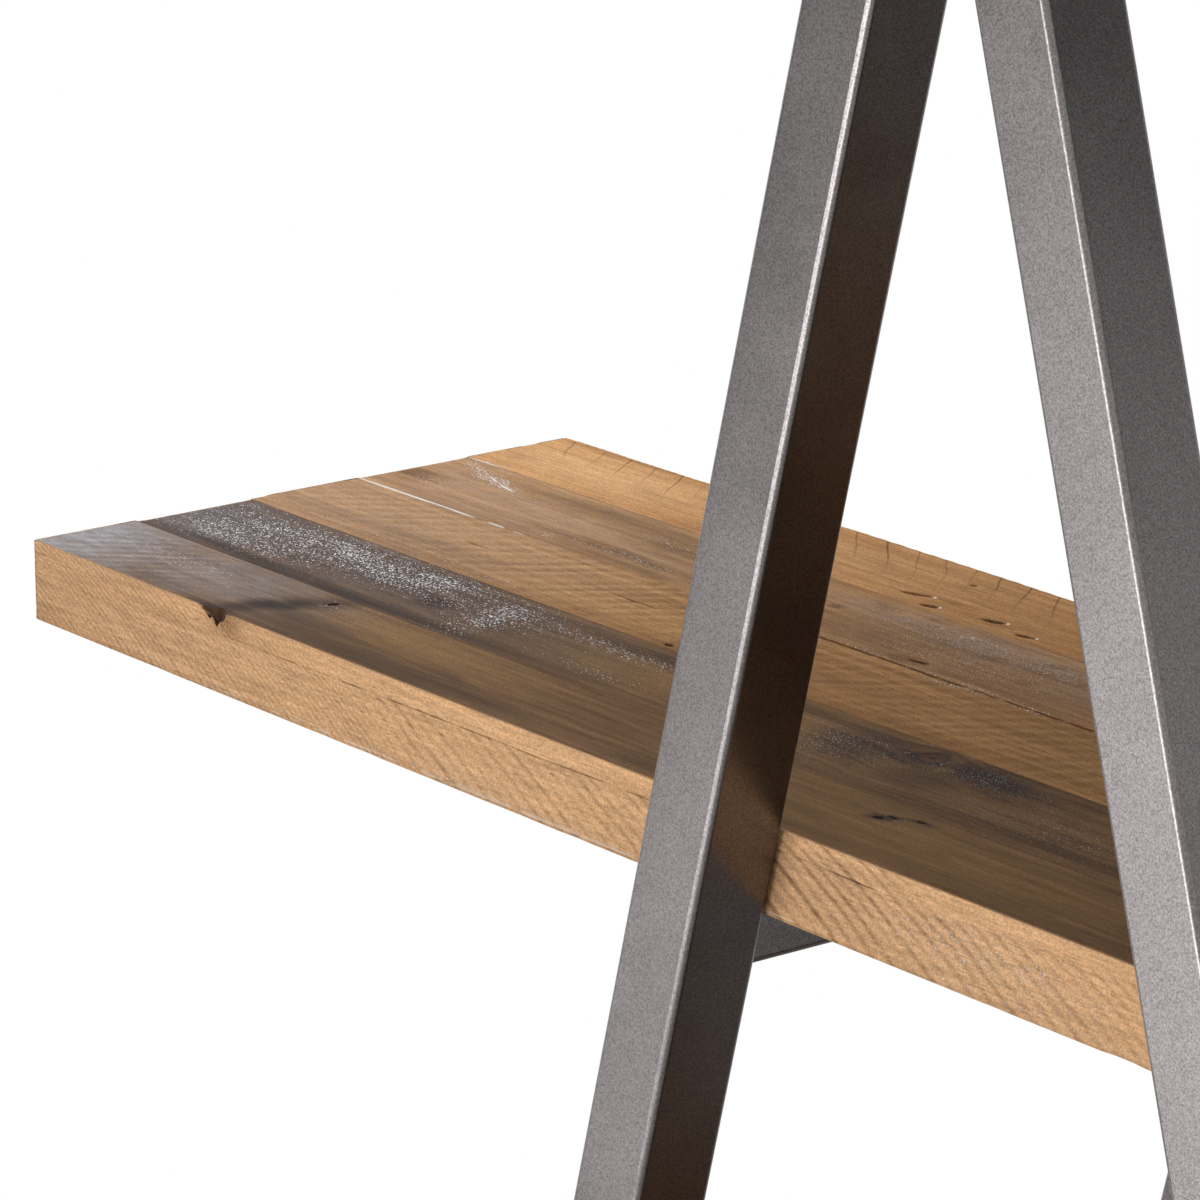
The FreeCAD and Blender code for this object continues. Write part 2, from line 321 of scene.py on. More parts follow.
# Saw marks: how they run along and across a face, and the distance between them
EDGE_SAW = (0.485, 0.875, 2.9)
EDGE_MIDDLE = 20
SAW_CURVE = 0.006
FEED_CHANGE = 240  # where the saw was fed faster
FEED_STRETCH = 0.5
TOP_SAWS = [(0.7, -0.7, 8), (0.7, -0.7, 9), (0.74, -0.67, 11), (0.74, -0.67, 12), (0.77, 0.64, 16)]

# A knot torn out of the front edge: its start, length, depth and width. It is largest at its peak.
CHIP = (145, 20, 7.5, 4)
CHIP_MARGIN = 4
CHIP_PEAK = 0.65
CHIP_ENDS = 0.25  # its size at the ends, as a share of the largest
CHIP_RAGGED = 0.35
CHIP_ROUGH = 0.16
CHIP_DARK = 0.45
CHIP_PALE = 0.25

RING = 4.5  # width of a growth ring
RING_SWAY = 9
KNOT_BEND = 1.4  # how far the grain bends around a knot, in widths of the knot
KNOT_REACH = (2.6, 4)  # how far away that is felt, in lengths and in widths of the knot

# How softly each kind of mark fades out, as a share of its size
SOFTNESS = {"stain_and_shade": 0.8, "grey_skin_and_sheen": 0.9, "pale": 0.9, "glint_speckle": 0.9, "knot": 1.0, "kerf": 0.7, "pit_and_shade": 0.45,
            "dent": 0.6, "filler": 0.45, "check": 0.9, "glint": 0.9}


def ramp(value, start, end):
    """A smooth step, from 0 at the start to 1 at the end."""
    share = np.clip((value - start) / (end - start), 0, 1)
    return share * share * (3 - 2 * share)


def wander(points, *sizes):
    """Smooth noise from -1 to 1 at each point, with features of the given sizes along the axes."""
    cells = points / np.array(sizes)
    low = np.floor(cells)
    share = ramp(cells - low, 0, 1)
    total = np.zeros(len(points))
    for corner in itertools.product((0, 1), repeat=3):
        weight = np.prod(np.where(corner, share, 1 - share), axis=1)
        draw = np.sin((low + corner) @ (127.1, 311.7, 74.7)) * 43758.5453
        total += weight * (draw - np.floor(draw))
    return 2 * total - 1


def stray(points, waves):
    """Noise summed from waves: how far each goes, its length along the grain and its width across it."""
    return sum(far * wander(points, length, width, width) for far, length, width in waves)


def spots(x, y, marks, soft):
    """How much each point is covered by marks: (x, y, half length, half width, turn, amount)."""
    cover = np.zeros(len(x))
    for centre_x, centre_y, length, width, turn, amount in marks:
        c, s = math.cos(math.radians(turn)), math.sin(math.radians(turn))
        along = ((x - centre_x) * c + (y - centre_y) * s) / length
        across = ((y - centre_y) * c - (x - centre_x) * s) / width
        cover = np.maximum(cover, amount * ramp(np.hypot(along, across), 1 + soft, 1 - soft))
    return cover


def board(low, high, step, rings):
    """A closed board: a fine grid on top, rings of faces down its sides and one face underneath."""
    bm = bmesh.new()
    size = high - low
    columns = round(size.x / step[0])
    rows = round(size.y / step[1])
    bmesh.ops.create_grid(bm, x_segments=columns, y_segments=rows, size=0.5)
    bmesh.ops.scale(bm, vec=(size.x, size.y, 1), verts=bm.verts)
    bmesh.ops.translate(bm, vec=((low.x + high.x) / 2, (low.y + high.y) / 2, high.z), verts=bm.verts)
    rim = [edge for edge in bm.edges if edge.is_boundary]
    inset = Vector((UNDERSIDE_RIM, UNDERSIDE_RIM, 0))
    for depth in rings + [size.z, None]:
        grown = bmesh.ops.extrude_edge_only(bm, edges=rim)["geom"]
        for vert in [part for part in grown if isinstance(part, bmesh.types.BMVert)]:
            if depth is None:
                vert.co = np.clip(vert.co, low + inset, high - inset)
            else:
                vert.co.z = high.z - depth
        rim = [part for part in grown if isinstance(part, bmesh.types.BMEdge) and part.is_boundary]
    bmesh.ops.contextual_create(bm, geom=rim)
    return bm


def cut_finer(bm, boxes):
    """Divides the edges inside boxes, so that small marks there have sharp rims."""
    places = np.array([vert.co for vert in bm.verts])
    near = np.zeros(len(places), dtype=bool)
    for low, high in boxes:
        near |= ((places > low) & (places < high)).all(axis=1)
    inside = {vert for vert, found in zip(bm.verts, near) if found}
    edges = {edge for vert in inside for edge in vert.link_edges if edge.other_vert(vert) in inside}
    bmesh.ops.subdivide_edges(bm, edges=list(edges), cuts=FINER_CUTS, use_grid_fill=True)


def plank(node, slot, number, marks, edge, step, rings, draw, chip=None):
    """Makes a plank in place of its solid. Marks are measured from the shelf's left end and front edge."""
    low, high = [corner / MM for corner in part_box(node)]
    shelf = node.split("_")[0]
    left, front = [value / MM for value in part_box(f"{shelf}_shelf_plank_1")[0][:2]]
    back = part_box(f"{shelf}_shelf_plank_5")[1].y / MM
    outer = {0: -1, 4: 1}.get(number, 0)
    bm = board(low, high, step, rings)
    boxes = []
    for x, y, length, width, turn, amount in marks["pit_and_shade"] + marks["filler"] + marks["dent"]:
        if length < SMALL_MARK:
            around = 1.3 * length + 2
            reach = np.array([around, around, 0.1])
            centre = np.array([left + x, front + y, high.z])
            boxes.append((centre - reach, centre + reach))
    if chip:
        start, chip_length, down, over = chip
        corner = np.array([left + start, low.y, high.z])
        near = corner - (CHIP_MARGIN, 1, down + CHIP_MARGIN + 1)
        far = corner + (chip_length + CHIP_MARGIN, over + CHIP_MARGIN + 1, 1)
        boxes.append((near, far))
    cut_finer(bm, boxes)
    flat = np.array([vert.co for vert in bm.verts])
    depth = high.z - flat[:, 2]
    on_crack = np.abs(depth - CRACK_DEPTH) < 0.05
    flat[:, 2] -= stray(flat * (1, 0, 0), CRACK_SWAY) * ramp(depth, 4, 9) * ramp(depth, 20, 12)

    # Arrises: barely eased at the glued seams, a little worn and dented along the outside of the shelf
    from_ends = np.minimum(flat[:, 0] - left, -left - flat[:, 0])
    from_edges = np.minimum(flat[:, 1] - front, back - flat[:, 1])
    outside = np.minimum(from_ends, from_edges)
    wear = OUTER_ARRIS - SEAM_ARRIS
    for deepest, length, width, rare in NICKS:
        wear = wear + deepest * ramp(wander(flat, length, width, width), rare, 1)
    radius = SEAM_ARRIS + wear * np.exp(-np.maximum(outside, 0) / ARRIS_REACH)
    core = np.clip(flat, np.array(low) + radius[:, None], np.array(high) - radius[:, None])
    normal = flat - core
    normal /= np.linalg.norm(normal, axis=1)[:, None]
    points = core + normal * radius[:, None]

    # What each point carries for the wood's colour. Stains, painted shade and knots have ragged outlines.
    x = flat[:, 0] - left
    y = flat[:, 1] - front
    up = normal[:, 2]
    face = normal[:, 1] * outer
    sawn = ramp(np.maximum(face, np.abs(normal[:, 0])), 0.35, 0.8)
    end = ramp(np.abs(normal[:, 0]), 0.5, 0.8)
    ragged_x = x + stray(flat, RAGGED_ALONG)
    ragged_y = y + stray(flat + ELSEWHERE, RAGGED_ACROSS)
    cover = {}
    for kind, soft in SOFTNESS.items():
        exact = kind in ("pit_and_shade", "filler", "dent", "check")
        on_top = spots(x if exact else ragged_x, y if exact else ragged_y, marks[kind], soft) * (up > 0.3)
        on_edge = spots(x, depth, edge.get(kind, []), soft) * (face > 0.3)
        cover[kind] = on_top * (1 - sawn) + on_edge * sawn
    smooth = spots(x, depth, edge.get("smooth", []), 0.3)
    cover["kerf"] = np.maximum(cover["kerf"], sawn * (1 - smooth))
    # the crack is marked as a pit, so its hollow is painted dark as well
    crack = spots(x, x * 0, edge.get("crack", []), 0.2) * (0.5 + 0.5 * wander(flat, 7, 1, 1))
    cover["pit_and_shade"] = np.maximum(cover["pit_and_shade"], crack * on_crack * (face > 0.5))
    grain = np.stack([x + draw.uniform(0, 4000), y - PLANK_BACKS[number] + draw.uniform(0, 60),
                      depth + draw.uniform(10, 40)], axis=1)
    for knot_x, knot_y, length, width, turn, amount in marks["knot"]:
        aside = (y - knot_y) / width
        along = (x - knot_x) / (KNOT_REACH[0] * length)
        bend = KNOT_BEND * width * np.exp(-along ** 2 - np.abs(aside) / KNOT_REACH[1])
        grain[:, 1] -= bend * np.tanh(aside)
    saw_along, saw_up, stroke = EDGE_SAW
    fed = x * saw_along - depth * saw_up + SAW_CURVE * (depth - EDGE_MIDDLE) ** 2
    edge_saw = (fed - FEED_STRETCH * np.maximum(fed - FEED_CHANGE * saw_along, 0)) / stroke
    saw_along, saw_across, stroke = TOP_SAWS[number]
    top_saw = (x * saw_along + y * saw_across) / stroke
    saw = np.where(sawn > 0.5, edge_saw, top_saw) + stray(flat, SAW_WOBBLE)

    # Relief, always into the wood. A plank that stands proud is sanded down to its neighbour at the seam.
    level = 1
    sanded = 0
    for beside, reach in ((number - 1, flat[:, 1] - low.y), (number + 1, high.y - flat[:, 1])):
        if 0 <= beside < len(PLANK_BACKS):
            proud = high.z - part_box(f"{shelf}_shelf_plank_{beside + 1}")[1].z / MM
            sanded = sanded + max(proud, 0) * ramp(reach, SEAM_SANDING, 0)
            level = level * ramp(reach, 0, SEAM_FADE)
    worn = BRUSH_DEPTH * (1 + wander(grain, 45, 2.1, 2.1)) + HOLLOW_DEPTH * (1 + wander(flat, 220, 40, 40))
    uneven = EDGE_DEPTH * (1 + wander(flat, 60, 60, 14)) * (sawn > 0.1)
    relief = np.where(up > 0.5, worn * level + sanded, uneven)
    if step == FINE_STEP:
        relief += cover["kerf"] * level * KERF_DEPTH * (1 + np.sin(2 * math.pi * saw))
    relief += KNOT_DEPTH * cover["knot"] * (1 - sawn) + DENT_DEPTH * cover["dent"]
    relief += np.where(on_crack, CRACK_OPENING, PIT_DEPTH) * cover["pit_and_shade"]
    if chip:
        along = np.clip((flat[:, 0] - left - start) / chip_length, 0, 1)
        size = CHIP_ENDS + (1 - CHIP_ENDS) * np.minimum(along / CHIP_PEAK, (1 - along) / (1 - CHIP_PEAK))
        size *= 1 + CHIP_RAGGED * wander(flat, 3, 40, 40)
        a = (flat[:, 1] - low.y) / (over * size)
        b = depth / (down * size)
        torn = (np.maximum(a, b) < 1) & (along > 0) & (along < 1)
        turn = (1 - a + b) * math.pi / 4
        rough = size * (1 + CHIP_ROUGH * wander(flat, 2.2, 2.2, 2.2))
        hollow_y = low.y + over * rough * np.cos(turn)
        hollow_z = high.z - down * rough * np.sin(turn)
        hollow = np.stack([flat[:, 0], hollow_y, hollow_z], axis=1)
        points = np.where(torn[:, None], hollow, points)
        relief *= ~torn
        cover["knot"] = np.where(torn, CHIP_DARK * (1 + wander(flat, 4, 2, 2)), cover["knot"])
        cover["kerf"] *= ~torn
        sawn = np.where(torn, CHIP_PALE, sawn)
    inward = np.where((up > 0.5)[:, None], (0, 0, 1), normal)
    points -= inward * (relief * (up > -0.5))[:, None]
    points[:, 2] = np.minimum(points[:, 2], high.z - sanded - SEAM_LEAN * depth)

    for vert, point in zip(bm.verts, points):
        vert.co = point
    mesh = finish_piece(f"{shelf}_plank_{number + 1}", bm, PINES[slot], node)
    mesh.set_sharp_from_angle(angle=math.radians(PLANK_CREASE))
    for kind, values in {**cover, "sawn": sawn, "end": end, "saw": saw}.items():
        carried = mesh.attributes.new(kind, "FLOAT", "POINT")
        carried.data.foreach_set("value", values.astype(np.float32))
    carried = mesh.attributes.new("grain", "FLOAT_VECTOR", "POINT")
    carried.data.foreach_set("vector", grain.astype(np.float32).ravel())


# Patterns that follow the grain: size along it, size across it and detail. The flecks and sparks, which
# draw the painted glints, are finer in the real skin, and are drawn as coarse as they need to be to show.
PATTERNS = {
    "fibre": (26, 1.1, 3),
    "streak": (60, 3.2, 4),
    "band": (150, 7, 5),
    "mottle": (38, 14, 5),
    "patch": (12, 6, 4),
    "dash": (5, 0.9, 1),
    "grit": (1.1, 1.0, 1),
    "fleck": (1.1, 0.95, 1),
    "spark": (0.7, 0.6, 1),
    "wind": (160, 26, 2),
}


def reclaimed_pine(name, early, late, pale, stain_and_shade, grey_skin_and_sheen):
    """Stained pine: streaks along the grain, soft growth rings, and what each point of a plank carries."""
    material, tree, surface = new_material(name)
    grain = add_node(tree, "Attribute", {}, "Vector", attribute_name="grain")
    source = {}
    for kind in [*SOFTNESS, "sawn", "end", "saw"]:
        source[kind] = add_node(tree, "Attribute", {}, "Fac", attribute_name=kind)
    for pattern, (along, across, detail) in PATTERNS.items():
        spread = add_node(tree, "Mapping", {"Vector": grain, "Scale": (1 / along, 1 / across, 1 / across)})
        noise = {"Vector": spread, "Scale": 1, "Detail": detail, "Roughness": 0.6}
        source[pattern] = add_node(tree, "TexNoise", noise, "Color" if pattern == "wind" else "Fac")
    sway = {0: source["wind"], 1: (0, RING_SWAY, RING_SWAY), 2: grain}
    bent = add_node(tree, "VectorMath", sway, operation="MULTIPLY_ADD")
    rings = add_node(tree, "TexWave", {"Vector": bent, "Scale": 2 * math.pi / 20 / RING}, "Fac",
                     wave_type="RINGS", rings_direction="X", wave_profile="SAW")
    source["latewood"] = add_node(tree, "Math", {0: rings, 1: 3}, operation="POWER")

    # Saw marks: a wave over the strokes, each with its own force, broken where the wood tore
    turns = add_node(tree, "Math", {0: source["saw"], 1: 2 * math.pi}, operation="MULTIPLY")
    source["wave"] = add_node(tree, "Math", {0: turns}, operation="SINE")
    stroke = add_node(tree, "Math", {0: source["saw"], 1: 0.25}, operation="ADD")
    stroke = add_node(tree, "Math", {0: stroke}, operation="FLOOR")
    force = add_node(tree, "TexWhiteNoise", {"W": stroke}, "Value", noise_dimensions="1D")
    force = add_node(tree, "MapRange", {0: force, 3: 0.3, 4: 1})
    broken = add_node(tree, "MapRange", {0: source["patch"], 1: 0.35, 2: 0.6, 3: 0.25, 4: 1})
    broken = add_node(tree, "Math", {0: force, 1: broken}, operation="MULTIPLY")
    source["broken"] = add_node(tree, "Math", {0: source["kerf"], 1: broken}, operation="MULTIPLY")
    source["cut"] = add_node(tree, "Math", {0: source["broken"], 1: source["sawn"]}, operation="MULTIPLY")
    source["checked"] = add_node(tree, "Math", {0: source["check"], 1: force}, operation="MULTIPLY")

    # Layers of colour: what draws each one, from and to, its least and most share, the mark that bounds it
    wood = linear(early)
    for pattern, start, stop, least, most, mark, colour in (
            ("latewood", 0, 1, 0, 0.5, None, late),
            ("band", 0.38, 0.62, 0, 0.8, None, late),
            ("mottle", 0.3, 0.6, 0.4, 1, "pale", pale),
            ("mottle", 0.5, 0.75, 0, 0.4, None, stain_and_shade),
            # grey skin: weathered grey wood, and in places a painted sheen that pales and greys the top
            ("patch", 0.35, 0.65, 0.6, 1, "grey_skin_and_sheen", grey_skin_and_sheen),
            # stains, and painted shade where less light falls
            ("band", 0.3, 0.6, 0.75, 1, "stain_and_shade", stain_and_shade),
            ("band", 0.35, 0.65, 1, 1, "sawn", "C89F78"),
            ("band", 0.4, 0.65, 0, 0.5, "sawn", "B78E67"),
            ("sawn", 0.5, 1, 0, 0.8, "pale", "DFB083"),
            ("sawn", 0.5, 1, 0, 0.8, "stain_and_shade", "8A6442"),
            ("latewood", 0, 1, 1, 1, "end", "A67C52"),
            ("latewood", 0, 1, 0, 0.8, "end", "6F4E33"),
            # painted shade in the saw-mark grooves and a painted highlight on their crests, over a shallow
            # relief
            ("wave", 0.1, 1, 0, 0.3, "broken", "6E4E33"),
            ("wave", -0.2, 0.9, 0, 0.5, "cut", "7A563A"),
            ("wave", -0.3, -1, 0, 0.15, "broken", "E0BC96"),
            ("wave", 0.965, 1, 0, 0.9, "checked", "4A3424"),
            ("knot", 0.22, 0.36, 0, 0.85, None, "3E2F27"),
            ("knot", 0.45, 0.6, 0, 0.7, None, "5C4233"),
            ("knot", 0.85, 1, 0, 0.8, None, "2A201A"),
            # painted shade: pits, nail slots and the crack are painted near-black in their hollows
            ("pit_and_shade", 0, 1, 0, 1, None, "1E1713")):
        share = add_node(tree, "MapRange", {0: source[pattern], 1: start, 2: stop, 3: least, 4: most})
        if mark:
            share = add_node(tree, "Math", {0: share, 1: source[mark]}, operation="MULTIPLY")
        wood = add_node(tree, "Mix", {0: share, 6: wood, 7: linear(colour)}, 2, data_type="RGBA")
    for pattern, start, stop, dark, light in (
            ("fibre", 0.3, 0.7, 0.84, 1.16),
            ("streak", 0.3, 0.7, 0.86, 1.14),
            ("grit", 0.25, 0.75, 0.76, 1.24),
            ("dash", 0.62, 0.74, 1, 0.7)):
        shade = add_node(tree, "MapRange", {0: source[pattern], 1: start, 2: stop, 3: dark, 4: light})
        wood = add_node(tree, "Mix", {0: 1, 6: wood, 7: shade}, 2, data_type="RGBA", blend_type="MULTIPLY")

    # White filler, and painted glints: specks of the grey skin mixed towards near-white
    patchy = add_node(tree, "MapRange", {0: source["mottle"], 1: 0.35, 2: 0.5, 3: 0.4, 4: 1})
    chalk = add_node(tree, "Math", {0: source["filler"], 1: patchy}, operation="MULTIPLY")
    chalk = add_node(tree, "MapRange", {0: chalk, 1: 0.35, 2: 0.55, 3: 0, 4: 0.95})
    wood = add_node(tree, "Mix", {0: chalk, 6: wood, 7: linear("EFECE5")}, 2, data_type="RGBA")
    patchy = add_node(tree, "MapRange", {0: source["mottle"], 1: 0.35, 2: 0.65, 3: 0.8, 4: 1.1})
    glint_specks = []
    for mark, pattern in (("glint_speckle", "fleck"), ("glint", "spark")):
        level = add_node(tree, "Math", {0: source[mark], 1: patchy}, operation="MULTIPLY")
        level = add_node(tree, "MapRange", {0: level, 3: 0.8, 4: 0.56})
        above = add_node(tree, "Math", {0: source[pattern], 1: level}, operation="SUBTRACT")
        glint_specks.append(add_node(tree, "MapRange", {0: above, 2: 0.05, 3: 0, 4: 0.9}))
    glint_speck = add_node(tree, "Math", {0: glint_specks[0], 1: glint_specks[1]}, operation="MAXIMUM")
    # painted glints: the specks are mixed towards near-white here, and are made glossier below
    wood = add_node(tree, "Mix", {0: glint_speck, 6: wood, 7: linear("E8E8EE")}, 2, data_type="RGBA")
    tree.links.new(wood, surface.inputs["Base Color"])
    patchy = add_node(tree, "MapRange", {0: source["patch"], 1: 0.35, 2: 0.65, 3: 0.18, 4: 0.36})
    skin = add_node(tree, "Math", {0: source["grey_skin_and_sheen"], 1: patchy}, operation="MULTIPLY")
    skin = add_node(tree, "Math", {0: skin, 1: source["stain_and_shade"]}, operation="SUBTRACT")
    sheen = add_node(tree, "Math", {0: glint_speck, 1: skin}, operation="MAXIMUM")
    rough = add_node(tree, "MapRange", {0: sheen, 3: 0.8, 4: 0.4})
    gloss = add_node(tree, "MapRange", {0: sheen, 3: 0.04, 4: 0.5})
    tree.links.new(rough, surface.inputs["Roughness"])
    tree.links.new(gloss, surface.inputs["Specular IOR Level"])
    height = add_node(tree, "Math", {0: source["fibre"], 1: 0.6, 2: glint_speck}, operation="MULTIPLY_ADD")
    height = add_node(tree, "Math", {0: source["grit"], 1: 0.4, 2: height}, operation="MULTIPLY_ADD")
    bump = add_node(tree, "Bump", {"Strength": 0.5, "Distance": 0.4 * MM, "Height": height})
    tree.links.new(bump, surface.inputs["Normal"])
    return material


PINES = {
    "plank_grey_brown": reclaimed_pine("stained_pine", "8A6848", "62482F", "A07C50", "382C27", "8B8A92"),
    "plank_brown": reclaimed_pine("brown_pine", "BC8E5C", "94693F", "CC9C66", "694D32", "A3958C"),
    "plank_tan": reclaimed_pine("tan_pine", "D8A673", "BE8A58", "E0B280", "966B44", "A08B74"),
}
PLANK_SLOTS = ["plank_grey_brown", "plank_grey_brown", "plank_brown", "plank_brown", "plank_tan"]

# Marks of the part of the top shelf that the photograph shows: x from the left end, y from the front edge,
# half length, half width, turn from the grain in degrees, and amount. Some stains are painted shade, some
# grey patches a painted sheen, and the speckles and glints painted glints.
TOP_MARKS = [
    {
        "grey_skin_and_sheen": [(5, 24, 60, 46, 0, 0.95), (95, 35, 80, 30, 0, 0.45)],
        "kerf": [(45, 28, 55, 28, 0, 1.8)],
        # partly painted shade: the wide, faint stain darkens the right-hand end
        "stain_and_shade": [
            (168, 27, 38, 9, 60, 1.0), (205, 14, 30, 16, 0, 0.4), (290, 10, 90, 9, 0, 0.5),
            (700, 30, 160, 40, 0, 0.1), (152, 2, 16, 3, 0, 1.0), (584, 43, 11, 4, 30, 1.0),
            (597, 50, 8, 3, 10, 0.9),
        ],
        "pale": [(260, 42, 80, 15, 0, 0.8), (610, 32, 110, 26, 0, 0.5)],
        "glint_speckle": [(80, 36, 45, 14, 0, 0.62), (184, 47, 9, 6, 0, 0.8), (230, 54, 50, 3, 0, 0.5)],
        "glint": [(586, 44, 12, 6, 0, 0.55)],
        "pit_and_shade": [
            (182, 48, 3, 1.4, 70, 1.0), (581, 41, 2.6, 0.9, 20, 0.5), (585, 46, 2.2, 0.8, -10, 0.55),
            (597, 51, 2.4, 0.9, 10, 0.5),
        ],
    },
    {
        "glint_speckle": [
            (120, 104, 170, 24, 0, 1.0), (60, 84, 90, 20, 0, 0.9), (245, 95, 24, 34, 0, 0.95),
            (310, 106, 80, 9, 0, 0.8), (340, 76, 50, 8, 0, 0.6),
        ],
        "glint": [(495, 92, 44, 24, 0, 0.66), (575, 108, 60, 14, 0, 0.58), (640, 85, 70, 20, 0, 0.5)],
        "grey_skin_and_sheen": [(20, 90, 70, 34, 0, 0.75), (80, 95, 170, 40, 0, 0.42)],
        # partly painted shade: darker beside the left leg and towards the right-hand end
        "stain_and_shade": [
            (110, 96, 190, 34, 0, 0.6), (208, 86, 15, 9, 0, 1.0), (572, 110, 40, 14, -6, 1.0),
            (612, 117, 24, 7, 0, 0.5), (527, 106, 26, 9, 8, 1.0), (551, 92, 26, 18, 0, 0.7),
            (502, 100, 28, 20, 0, 0.85), (130, 64, 170, 9, 0, 0.9), (640, 72, 120, 14, 0, 0.4),
            (600, 95, 130, 30, 0, 0.25), (360, 112, 90, 6, 0, 0.6),
        ],
        "pale": [(400, 92, 100, 14, 0, 0.7), (545, 108, 4, 14, 8, 0.8), (330, 90, 60, 6, 0, 0.6)],
        "knot": [(532, 112, 7, 7, 0, 1.0)],
    },
    {
        # painted sheen: a grey veil over the left of this plank
        "grey_skin_and_sheen": [(60, 160, 150, 50, 0, 0.3)],
        "kerf": [(200, 166, 190, 34, 0, 1.6), (500, 160, 150, 40, 0, 1.2)],
        # partly painted shade: the wide stain darkens the right-hand part, where less light falls
        "stain_and_shade": [(620, 158, 220, 60, 0, 0.35), (330, 130, 60, 5, 0, 0.5)],
        "pale": [(110, 170, 120, 16, 0, 0.6), (260, 150, 80, 14, 0, 0.6)],
        "glint_speckle": [(60, 134, 70, 4, 0, 0.55), (180, 134, 50, 4, 0, 0.55), (140, 161, 20, 2, 0, 0.5)],
        "glint": [(480, 188, 120, 2, 0, 0.85)],
        "filler": [
            (48, 190, 50, 1.1, 0, 1.0), (116, 189.9, 7, 0.7, 0, 0.9), (135, 189.9, 5, 0.6, 0, 0.8),
        ],
        "pit_and_shade": [
            (330, 129, 2.6, 1.4, 0, 0.9), (140, 161, 8, 0.5, 0, 0.5), (265, 160, 14, 0.5, 0, 0.5),
            *[(x, 189.6, 10, 0.5, 0, 0.8) for x in range(350, 450, 21)],
            *[(x, 189.6, 9, 0.5, 0, 0.4) for x in range(455, 570, 21)],
        ],
    },
    {
        # partly painted shade: the wide stain darkens the right-hand part, where less light falls
        "stain_and_shade": [
            (8, 218, 18, 9, 0, 0.8), (327, 228, 5, 4, 0, 1.0), (450, 216, 130, 30, 0, 0.6),
            (205, 206, 60, 4, 0, 0.8), (150, 243, 90, 9, 0, 0.5), (230, 232, 60, 10, 0, 0.5),
            (210, 195, 50, 3, 0, 0.5),
        ],
        # partly painted sheen: grey patches that pale this plank
        "grey_skin_and_sheen": [
            (110, 225, 180, 45, 0, 0.35), (450, 225, 130, 34, 0, 0.3), (420, 238, 110, 15, 0, 0.6),
            (520, 225, 60, 18, 0, 0.5), (205, 206, 60, 4, 0, 0.4),
        ],
        "kerf": [(200, 225, 260, 30, 0, 0.35)],
        "pale": [
            (80, 240, 90, 20, 0, 0.6), (120, 215, 100, 10, 0, 0.5), (330, 240, 40, 12, 0, 0.5),
            (417, 207, 14, 3, 10, 0.9), (450, 246, 30, 5, 8, 0.7), (495, 222, 24, 5, 6, 0.6),
        ],
        "glint_speckle": [
            (146, 198, 6, 5, 0, 0.9), (25, 214, 20, 9, 0, 0.7), (205, 205, 60, 4, 0, 0.8),
            (200, 236, 60, 8, 0, 0.6), (40, 255, 40, 2, 0, 0.7), (38, 243, 40, 6, -16, 1.25),
        ],
        "glint": [(440, 214, 90, 22, 0, 0.62), (430, 236, 110, 16, 0, 0.68), (440, 192, 110, 3, 0, 0.85)],
        "filler": [
            (48, 190, 50, 1.1, 0, 1.0), (116, 190.1, 7, 0.7, 0, 0.9), (45, 241, 8, 0.6, -18, 0.55),
            (62, 236, 9, 0.7, -12, 0.62), (16, 256.9, 18, 0.6, 0, 0.8),
        ],
        "knot": [(352, 247, 7, 3, 25, 0.25), (395, 243, 8, 4, 0, 0.25)],
        "dent": [
            (417, 199, 11, 5, 10, 1.0), (380, 250, 9, 4, 20, 0.7), (350, 244, 8, 3, 0, 0.6),
            (440, 229, 8, 3, 5, 0.8), (466, 241, 9, 3.5, 15, 0.8), (502, 233, 10, 4, 10, 0.7),
            (478, 215, 7, 3, 0, 0.6),
        ],
        "pit_and_shade": [
            (417, 202, 5, 0.7, 10, 0.9), *[(x, 190.4, 10, 0.5, 0, 0.8) for x in range(350, 450, 21)],
            *[(x, 190.4, 9, 0.5, 0, 0.4) for x in range(455, 570, 21)],
        ],
    },
    {
        # painted shade: the two wide stains darken the right-hand part, where less light falls
        "stain_and_shade": [(520, 286, 160, 50, 0, 0.65), (370, 290, 130, 40, 0, 0.45), (100, 316, 260, 5, 0, 0.3)],
        "pale": [(70, 288, 80, 20, 0, 0.9), (240, 285, 60, 14, 0, 0.4), (350, 305, 60, 12, 0, 0.15)],
        "glint_speckle": [(30, 258, 30, 2, 0, 0.8)],
        "filler": [
            (16, 257.1, 18, 0.6, 0, 0.8), (345, 272.5, 1.6, 1, 0, 0.9), (359, 263.5, 1.3, 0.9, 0, 0.9),
            (399, 270, 1.5, 1, 0, 0.9), (425, 264.5, 1.2, 0.9, 0, 0.9),
        ],
        "dent": [(365, 272, 14, 4, 14, 0.7), (400, 265, 10, 3, 14, 0.6)],
        "pit_and_shade": [
            (336, 270, 7.5, 1.5, 16, 1.0), (354, 262, 4.5, 1.5, 14, 1.0), (392, 268, 6, 1.5, 16, 1.0),
            (419, 263, 5, 1.3, 14, 1.0), (341, 300, 2, 1.4, 0, 0.7),
        ],
        "check": [(330, 318, 340, 22, 0, 1.0)],
    },
]
